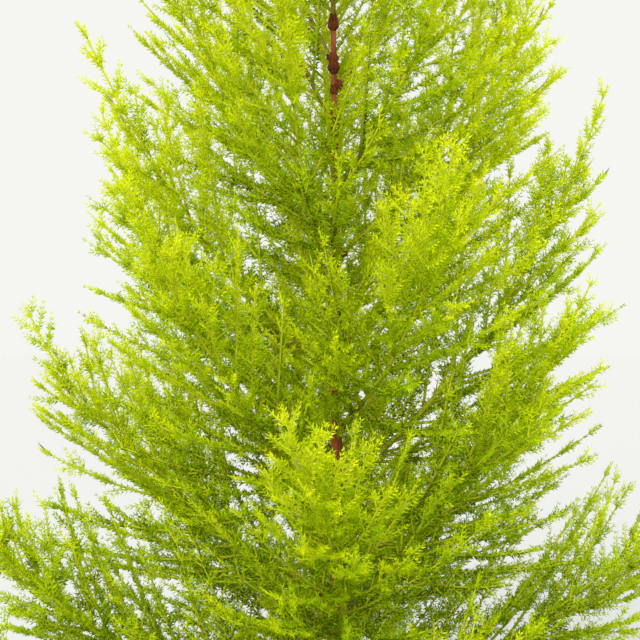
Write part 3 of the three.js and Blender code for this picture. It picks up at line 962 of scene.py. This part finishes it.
share = np.linspace(0, 1, COLLAR_RINGS + 1)
along = ((COLLAR_LENGTH * bough_radius / bough_length)[:, None] * share).ravel()
which = np.repeat(boughs, COLLAR_RINGS + 1)
lines = on_stem(which, along)[0].reshape(BOUGHS, COLLAR_RINGS + 1, 3)
bulge = COLLAR_WALL + COLLAR_BULGE * np.sin(np.pi * share[None, :COLLAR_RINGS] ** BULGE_POWER)
ragged = varied(COLLAR_RAGGED, boughs[:, None], np.arange(COLLAR_RINGS)[None], 19)
collars = tubes(lines, bough_radius[:, None] * bulge * ragged, sides=10)
print(BOUGHS, "collars of", len(collars[1]), "triangles")

# %% Knots where boughs leave the trunk
KNOTS = 30  # the highest boughs have none
KNOT_LENGTH = 12
KNOT_RINGS = 9
KNOT_UNDER = 0.6  # of the knot's length is under the bough
KNOT_RADIUS = 1.25
KNOT_BULGE = 0.95
KNOT_SIZE = (0.8, 0.4)
KNOT_RAGGED = (1, 0.3)

share = np.linspace(0, 1, KNOT_RINGS + 1)
size = varied(KNOT_SIZE, boughs[:KNOTS, None], 45)
height = bough_height[:KNOTS, None] + KNOT_LENGTH * size * (share - KNOT_UNDER)
bulge = KNOT_BULGE + KNOT_BULGE * np.sin(np.pi * share[:KNOT_RINGS] ** BULGE_POWER) * size
ragged = varied(KNOT_RAGGED, boughs[:KNOTS, None], np.arange(KNOT_RINGS)[None], 46)
radii = trunk_radius(height[:, :KNOT_RINGS]) ** 0.5 * KNOT_RADIUS * bulge * ragged
knots = tubes(trunk_centre(height), radii, sides=7)
add_piece("branch_collars", *stacked(collars, knots), knot_bark, "bark", smooth=True)

# %% Branches, twigs and twiglets
BRANCH_THICKNESS = 0.012  # the root's radius, as a share of the length
THINNEST_BRANCH = 0.6
THICKEST_BRANCH = 1.1
BRANCH_TIP = 0.5
TWIG_ROOT = 0.68
TWIG_TIP = 0.45
TWIGLET_ROOT = 0.42
TWIGLET_TIP = 0.15
TWO_RING_LENGTH = 14  # longer twigs have two rings, so that they bend

branch_radius = BRANCH_THICKNESS * branches.length
branch_radius = np.clip(branch_radius, THINNEST_BRANCH, THICKEST_BRANCH)
twig_radius = np.full(len(twigs), TWIG_ROOT)
twiglet_radius = np.full(len(twiglets), TWIGLET_ROOT)
limbs = twig_tubes(branches, branch_radius, BRANCH_TIP, rings=6, sides=3)
add_piece("side_branches", *limbs, lime_stem, "young_bark", smooth=True)
bent = twigs.length > TWO_RING_LENGTH
bent_rods = twig_tubes(twigs.keep(bent), twig_radius[bent], TWIG_TIP, rings=2, sides=3)
short = twigs.keep(~bent)
straight_rods = twig_tubes(short, twig_radius[~bent], TWIG_TIP, rings=1, sides=3)
add_piece("twigs", *stacked(bent_rods, straight_rods), lime_twig, "needles")
rods = twig_tubes(twiglets, twiglet_radius, TWIGLET_TIP, rings=1, sides=3)
add_piece("twiglets", *rods, lime_twig, "needles")

# %% Dry tips
DRY_SHARE = 0.02  # of the outer twigs end in a dead grey tip
DRY_LENGTH = 8
DRY_VARIES = (0.8, 0.3)
DRY_FROM = 0.9  # of the twig's line
DRY_LIFT = 0.25
DRY_ROOT = 0.5
DRY_POINT = 0.3
SHORTEST_DRY = 5

number = np.arange(len(twigs))
outer = (depth(twigs) == 0) & (twigs.length > SHORTEST_DRY)
dry = np.flatnonzero((chance(number, 43) < DRY_SHARE) & outer)
place, tangent = twigs.at(dry, DRY_FROM)
length = DRY_LENGTH * varied(DRY_VARIES, dry, 44)
bend = DRY_LIFT * UP + 0 * tangent
tips = Twigs(place, tangent, bend, length, twigs.stem[dry], 0 * length, twigs.flat[dry])
rods = twig_tubes(tips, np.full(len(dry), DRY_ROOT), DRY_POINT, rings=2, sides=4)
add_piece("dry_tips", *rods, dry_tip, "needles")

# %% [markdown]
# ## Needles
#
# The young needles of this cypress are awls a few millimetres long. They stand in pairs
# along every twig and lean forward. Instances of one needle would be light on memory, but
# they don't travel to other programs, so all the needles of one tone are one mesh. A needle
# is two triangles folded along a keel as a shallow roof, so that it shows a side from every
# way round. Deep inside the crown, where nobody sees the fold, it is one broader triangle.

# %% Where the needles stand
NEEDLE_PITCH = 1.22  # between two pairs
INNER_PITCH = 1.35  # times that deep inside
NEEDLE_TURN = 0.65  # radians out of the spray's plane, to both sides by turns
NEEDLE_TURN_SWAY = 0.4
ROOT_NEEDLE = 1.05  # the size of the first needles of a twig
END_NEEDLE = 0.8
LEAST_NEEDLE = 0.94
NEEDLE_VARIES = 0.12
TWIGLET_NEEDLE = 0.88


def needle_places(crowd, first, scale, root_radius, tip_radius):
    """Pairs of needles along a crowd of twigs: each one's place, the twig's direction there,
    turn, size, the twig's radius and t, and the twig's number, depth, flat, stem and vigour."""
    inner = depth(crowd)
    parent, number, t = dealt(crowd, NEEDLE_PITCH * lerp(1, INNER_PITCH, inner), first, 1.0)
    place, tangent = crowd.at(parent, t)
    turn = NEEDLE_TURN * (2 * (number % 2) - 1) + NEEDLE_TURN_SWAY * sway(parent, number, 21)
    size = scale * lerp(ROOT_NEEDLE, END_NEEDLE, t**3)
    size = size * (LEAST_NEEDLE + NEEDLE_VARIES * chance(parent, number, 22))
    thick = lerp(root_radius[parent], tip_radius, t)
    own = [part[parent] for part in (inner, crowd.flat, crowd.stem, crowd.vigour)]
    return [place, tangent, turn, size, thick, t, parent, *own]


axis_radius = np.append(branch_radius, np.ones(len(ends)))
crowds = [
    needle_places(axes, 0.1, 1, axis_radius, BRANCH_TIP),
    needle_places(twigs, 0.05, 1, twig_radius, TWIG_TIP),
    needle_places(twiglets, 0.08, TWIGLET_NEEDLE, twiglet_radius, TWIGLET_TIP),
]
order = np.repeat(np.arange(len(crowds)), [len(crowd[0]) for crowd in crowds])
gathered = [np.concatenate(part) for part in zip(*crowds)]
place, tangent, turn, size, thick, t, spray, inner, flat, stem, vigour = gathered
print(2 * len(place), "needles")

# %% [markdown]
# ## Tones
#
# A cypress like this is never of one green. Young needles at the twigs' ends are golden, old
# ones are deep green, and the crown gets darker inside and towards the ground: partly older
# needles, partly painted shade where less light reaches. A colour painted on each needle would
# need an attribute in the shader. Plain colours travel anywhere: every needle has a light, made
# of its twig's vigour, its place on the twig, its height and some chance, and the tones share
# the needles out by that light, so the darker tones hold painted shade as well as old green.

# %% The tone of each needle
# painted shade by height: lower needles get darker tones, partly for older foliage and partly as
# shade
LIT_FROM = 500  # from this height up the needles get no lighter
LIGHT_OF_VIGOUR = 0.45
LIGHT_OF_PLACE = 0.14
LIGHT_OF_HEIGHT = 0.24
LIGHT_OF_SPRAY = 0.2
LIGHT_OF_STEM = 0.06
# the shade and deep tones are old green needles darkened further with painted shade of the inner
# and lower crown
TONES = [
    ("shade", srgb(90, 120, 0), 0.11),
    ("deep", srgb(124, 156, 0), 0.18),
    ("green", srgb(162, 194, 0), 0.21),
    ("lime", srgb(190, 213, 0), 0.22),
    ("golden", srgb(212, 225, 2), 0.17),
    ("tips", srgb(226, 235, 24), 0.11),
]

# low vigour (near a bough's root, inside the crown) gives darker tones: partly older growth, partly
# painted shade
light = LIGHT_OF_VIGOUR * vigour + LIGHT_OF_PLACE * t
light = light + LIGHT_OF_HEIGHT * np.minimum(place[:, 2] / LIT_FROM, 1)
light = light + LIGHT_OF_SPRAY * chance(spray, order, 23) + LIGHT_OF_STEM * chance(stem, 24)
limits = np.quantile(light, np.cumsum([portion for _, _, portion in TONES])[:-1])
tone = np.searchsorted(limits, light)
print("light from", np.round(light.min(), 2), "to", np.round(light.max(), 2))

# %% The needles' shape
NEEDLE_LENGTH = 3.0
NEEDLE_BREADTH = 1.08
INNER_BREADTH = 1.15  # times that deep inside
NEEDLE_LEAN = 61
LEAN_SWAY = 7
CLOSING = 38  # degrees by which the last needles close round the twig's tip
NEEDLE_ROOT = 0.7  # of the twig's radius
ROLL = (0.95, 0.4)  # radians that a needle is rolled about its own length
FOLD = 0.4  # depth of the fold, as a share of half the breadth
HOOK = 0.15  # how much the tip bends to the twig's direction
ROOF_SHOULDER = 0.25  # where a needle is broadest, as a share of its length
BLADE_SHOULDER = 0.1
BLADES_FROM = 0.1  # of the depth inside the crown


def needle_corners(rows, shoulder_at):
    """Two needles at each place, which lean off the twig on both sides. Each is a root on the
    bark, two shoulders at a share of its length and a tip."""
    corners = []
    for half_turn in (0, np.pi):
        side = spread(tangent[rows], flat[rows], turn[rows] + half_turn)
        lean = NEEDLE_LEAN - CLOSING * t[rows] ** 4 + LEAN_SWAY * sway(rows, half_turn, 25)
        lean = np.radians(lean)[:, None]
        way = tangent[rows] * np.cos(lean) + side * np.sin(lean)
        square = unit(np.cross(way, side))
        roll = varied(ROLL, rows, half_turn, 42)[:, None]
        across = square * np.cos(roll) + np.cross(way, square) * np.sin(roll)
        back = np.cross(across, way)
        long = NEEDLE_LENGTH * size[rows, None]
        broad = NEEDLE_BREADTH / 2 * (size * lerp(1, INNER_BREADTH, inner))[rows, None]
        root = place[rows] + NEEDLE_ROOT * thick[rows, None] * side
        shoulder = root + shoulder_at * long * way - FOLD * broad * back
        tip = root + long * unit(way + HOOK * tangent[rows])
        wings = (shoulder + broad * across, shoulder - broad * across)
        corners.append(np.stack([root, *wings, tip], axis=1))
    return np.concatenate(corners)


def needle_mesh(rows):
    """The needles of these places: roofs of two faces, and blades of one face deep inside."""
    roofs = needle_corners(rows[inner[rows] < BLADES_FROM], ROOF_SHOULDER).reshape(-1, 3)
    blades = needle_corners(rows[inner[rows] >= BLADES_FROM], BLADE_SHOULDER)
    blades = blades[:, 1:].reshape(-1, 3)
    four = np.arange(0, len(roofs), 4)[:, None]
    three = len(roofs) + np.arange(0, len(blades), 3)[:, None]
    faces = np.concatenate([four + [0, 1, 3], four + [0, 3, 2], three + [0, 1, 2]])
    return np.concatenate([roofs, blades]), faces


plumes = [f"plume_{i + 1:02d}" for i in range(BOUGHS)] + ["leader_plume"]
for index, (name, color, portion) in enumerate(TONES):
    finish = plain_finish(f"{name}_needle", color, roughness=0.55, through=0.4)
    rows = np.flatnonzero(tone == index)
    replaced = plumes if name == "green" else ()
    add_piece(f"{name}_needles", *needle_mesh(rows), finish, "needles", replaced)

# %% [markdown]
# ## Floor, light and camera
#
# The tree stands on a plain pale floor before a bright even backdrop. Studio lamps would
# light it well, but small lamps draw hard shadows in foliage. So the backdrop's own light
# wraps round the tree, and three suns that look very wide, as a cloudy sky does, add a soft
# direction: the strongest from the upper left in front, a faint one from the front, and one
# from behind that lets the needles glow.

# %% The floor
FLOOR_HALF = 3.0

floor_mesh = bpy.data.meshes.new("floor")
signs = ((-1, -1), (1, -1), (1, 1), (-1, 1))
corners = [(FLOOR_HALF * x, FLOOR_HALF * y, 0) for x, y in signs]
floor_mesh.from_pydata(corners, [], [(0, 1, 2, 3)])
floor_mesh.materials.append(plain_finish("pale_floor", srgb(194, 194, 193), roughness=0.9))
floor = in_scene("floor", floor_mesh)
print("floor", 2 * FLOOR_HALF, "m wide")

# %% The light
world = bpy.data.worlds.new("studio")
world.use_nodes = True
set_inputs(world.node_tree.nodes["Background"], {"Color": srgb(245, 246, 241), "Strength": 1})
bpy.context.scene.world = world
bpy.context.scene.view_settings.view_transform = "Standard"


def soft_sun(name, direction, strength, wide):
    """A sun that shines along direction. wide is how wide it looks, in degrees."""
    lamp = bpy.data.lights.new(name, "SUN")
    lamp.energy = strength
    lamp.angle = np.radians(wide)
    in_scene(name, lamp).rotation_euler = Vector(direction).to_track_quat("-Z", "Y").to_euler()
    print(name, strength, "W in a square metre,", wide, "degrees wide")


soft_sun("key_sun", (0.32, 0.9, -0.72), 2.75, 40)
soft_sun("front_sun", (0.1, 1, -0.3), 0.45, 50)
soft_sun("back_sun", (-0.5, -0.6, -0.7), 0.8, 60)

# %% The camera
CAMERA_DISTANCE = 1.1
CAMERA_PITCH = np.radians(5)
VIEW_WIDTH = 0.38
VIEW_CENTRE = Vector((-0.009, 0, 0.34))

camera_data = bpy.data.cameras.new("camera")
camera_data.lens = camera_data.sensor_width * CAMERA_DISTANCE / VIEW_WIDTH
camera = in_scene("camera", camera_data)
back = Vector((0, -np.cos(CAMERA_PITCH), np.sin(CAMERA_PITCH)))
camera.location = VIEW_CENTRE + back * CAMERA_DISTANCE
camera.rotation_euler = (-back).to_track_quat("-Z", "Y").to_euler()
bpy.context.scene.camera = camera
print("camera", CAMERA_DISTANCE, "m away, lens", round(camera_data.lens), "mm")
